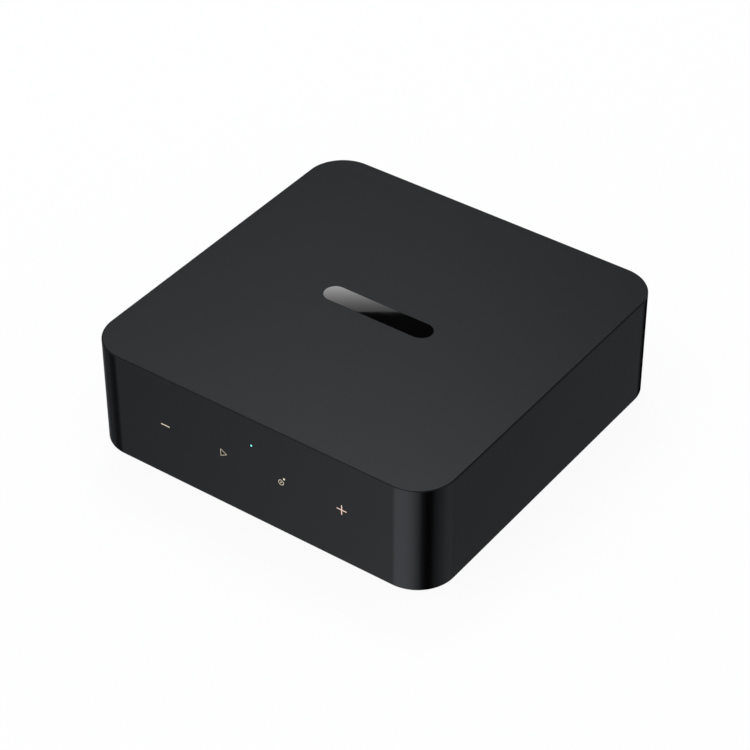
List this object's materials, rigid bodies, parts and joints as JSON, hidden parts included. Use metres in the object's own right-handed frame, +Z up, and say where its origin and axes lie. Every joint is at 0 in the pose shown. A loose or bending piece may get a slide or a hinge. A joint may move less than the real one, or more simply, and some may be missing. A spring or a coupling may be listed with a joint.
{
  "type": "network music streamer",
  "caption": "Square network music streamer with rounded corners, a flush top inlay, front touch keys and a rear panel of audio, optical, network, trigger and power sockets.",
  "frame": {"origin": "centre of the foot pad's underside, on the surface that the body stands on", "axes": "+Z up, -Y out of the front with its touch keys, +Y out of the rear sockets, +X to the right seen from the front"},
  "size_m": [0.14, 0.148, 0.042],
  "materials": {
    "housing": "fine matt moulding",
    "inlay": "polished gloss",
    "base": "fine spark-eroded grain",
    "foot_rubber": "matt silicone",
    "rear_plastic": "fine spark-eroded grain",
    "screw_steel": "black zinc",
    "board": "solder resist",
    "module_board": "solder resist",
    "tinned_steel": "bright tin",
    "thermal_foam": "soft matt",
    "aluminium": "plain stamped",
    "rivet_nylon": "natural nylon",
    "chip_resin": "moulded epoxy",
    "can_aluminium": "drawn",
    "ferrite": "pressed powder",
    "key_foam": "conductive foam",
    "flex_film": "white film",
    "ivory_nylon": "moulded",
    "led_resin": "clear over yellow",
    "light_clear": "clear, lit cyan",
    "antenna_film": "coated film",
    "lead_jacket": "extruded jacket",
    "gold_plate": "gold flash",
    "socket_black": "glass-filled nylon",
    "window_clear": "clear",
    "nickel_plate": "bright nickel",
    "shutter_grey": "moulded",
    "element_black": "dark red-black resin",
    "insulator_white": "moulded",
    "insulator_red": "moulded",
    "insulator_orange": "moulded"
  },
  "bodies": {
    "streamer": {"antenna_lead_left": "lead_jacket", "antenna_lead_right": "lead_jacket", "antenna_left": "antenna_film", "antenna_plugs": "gold_plate", "antenna_right": "antenna_film", "base_plate": "base", "base_screws": "screw_steel", "board_screws": "screw_steel", "capacitors": "can_aluminium", "chips": "chip_resin", "coax_barrel": "nickel_plate", "coax_block": "socket_black", "coax_contact": "gold_plate", "coax_insulator": "insulator_orange", "compute_module": "module_board", "ethernet_contacts": "gold_plate", "ethernet_insert": "socket_black", "ethernet_shield": "tinned_steel", "ethernet_windows": "window_clear", "foot_pad": "foot_rubber", "heat_spreader": "aluminium", "inductors": "ferrite", "light_pipe": "light_clear", "line_in_block": "socket_black", "line_in_left_barrel": "nickel_plate", "line_in_left_contact": "gold_plate", "line_in_left_insulator": "insulator_white", "line_in_right_barrel": "nickel_plate", "line_in_right_contact": "gold_plate", "line_in_right_insulator": "insulator_red", "line_out_block": "socket_black", "line_out_left_barrel": "nickel_plate", "line_out_left_contact": "gold_plate", "line_out_left_insulator": "insulator_white", "line_out_right_barrel": "nickel_plate", "line_out_right_contact": "gold_plate", "line_out_right_insulator": "insulator_red", "main_board": "board", "module_shield": "tinned_steel", "optical_in_housing": "socket_black", "optical_in_receiver": "element_black", "optical_out_emitter": "element_black", "optical_out_housing": "socket_black", "power_shell": "tinned_steel", "power_tongue": "socket_black", "rear_panel": "rear_plastic", "ribbon_connectors": "ivory_nylon", "spreader_rivets": "rivet_nylon", "status_led": "led_resin", "thermal_pad": "thermal_foam", "top_inlay": "inlay", "touch_board": "board", "touch_pads": "key_foam", "touch_ribbon": "flex_film", "trigger_body": "socket_black", "trigger_bush": "nickel_plate", "upper_shell": "housing"},
    "input_shutter": {"optical_in_shutter": "shutter_grey"},
    "output_shutter": {"optical_out_shutter": "shutter_grey"}
  },
  "joints": [
    {"name": "optical_in_swing", "type": "hinge", "parent": "streamer", "child": "input_shutter", "pos_m": [0.02015, 0.06815, 0.01935], "axis": [-1, 0, 0], "range_deg": [0, 86], "stiffness_Nm_per_rad": 0.0006},
    {"name": "optical_out_swing", "type": "hinge", "parent": "streamer", "child": "output_shutter", "pos_m": [0.00706, 0.06815, 0.01935], "axis": [-1, 0, 0], "range_deg": [0, 86], "stiffness_Nm_per_rad": 0.0006}
  ]
}
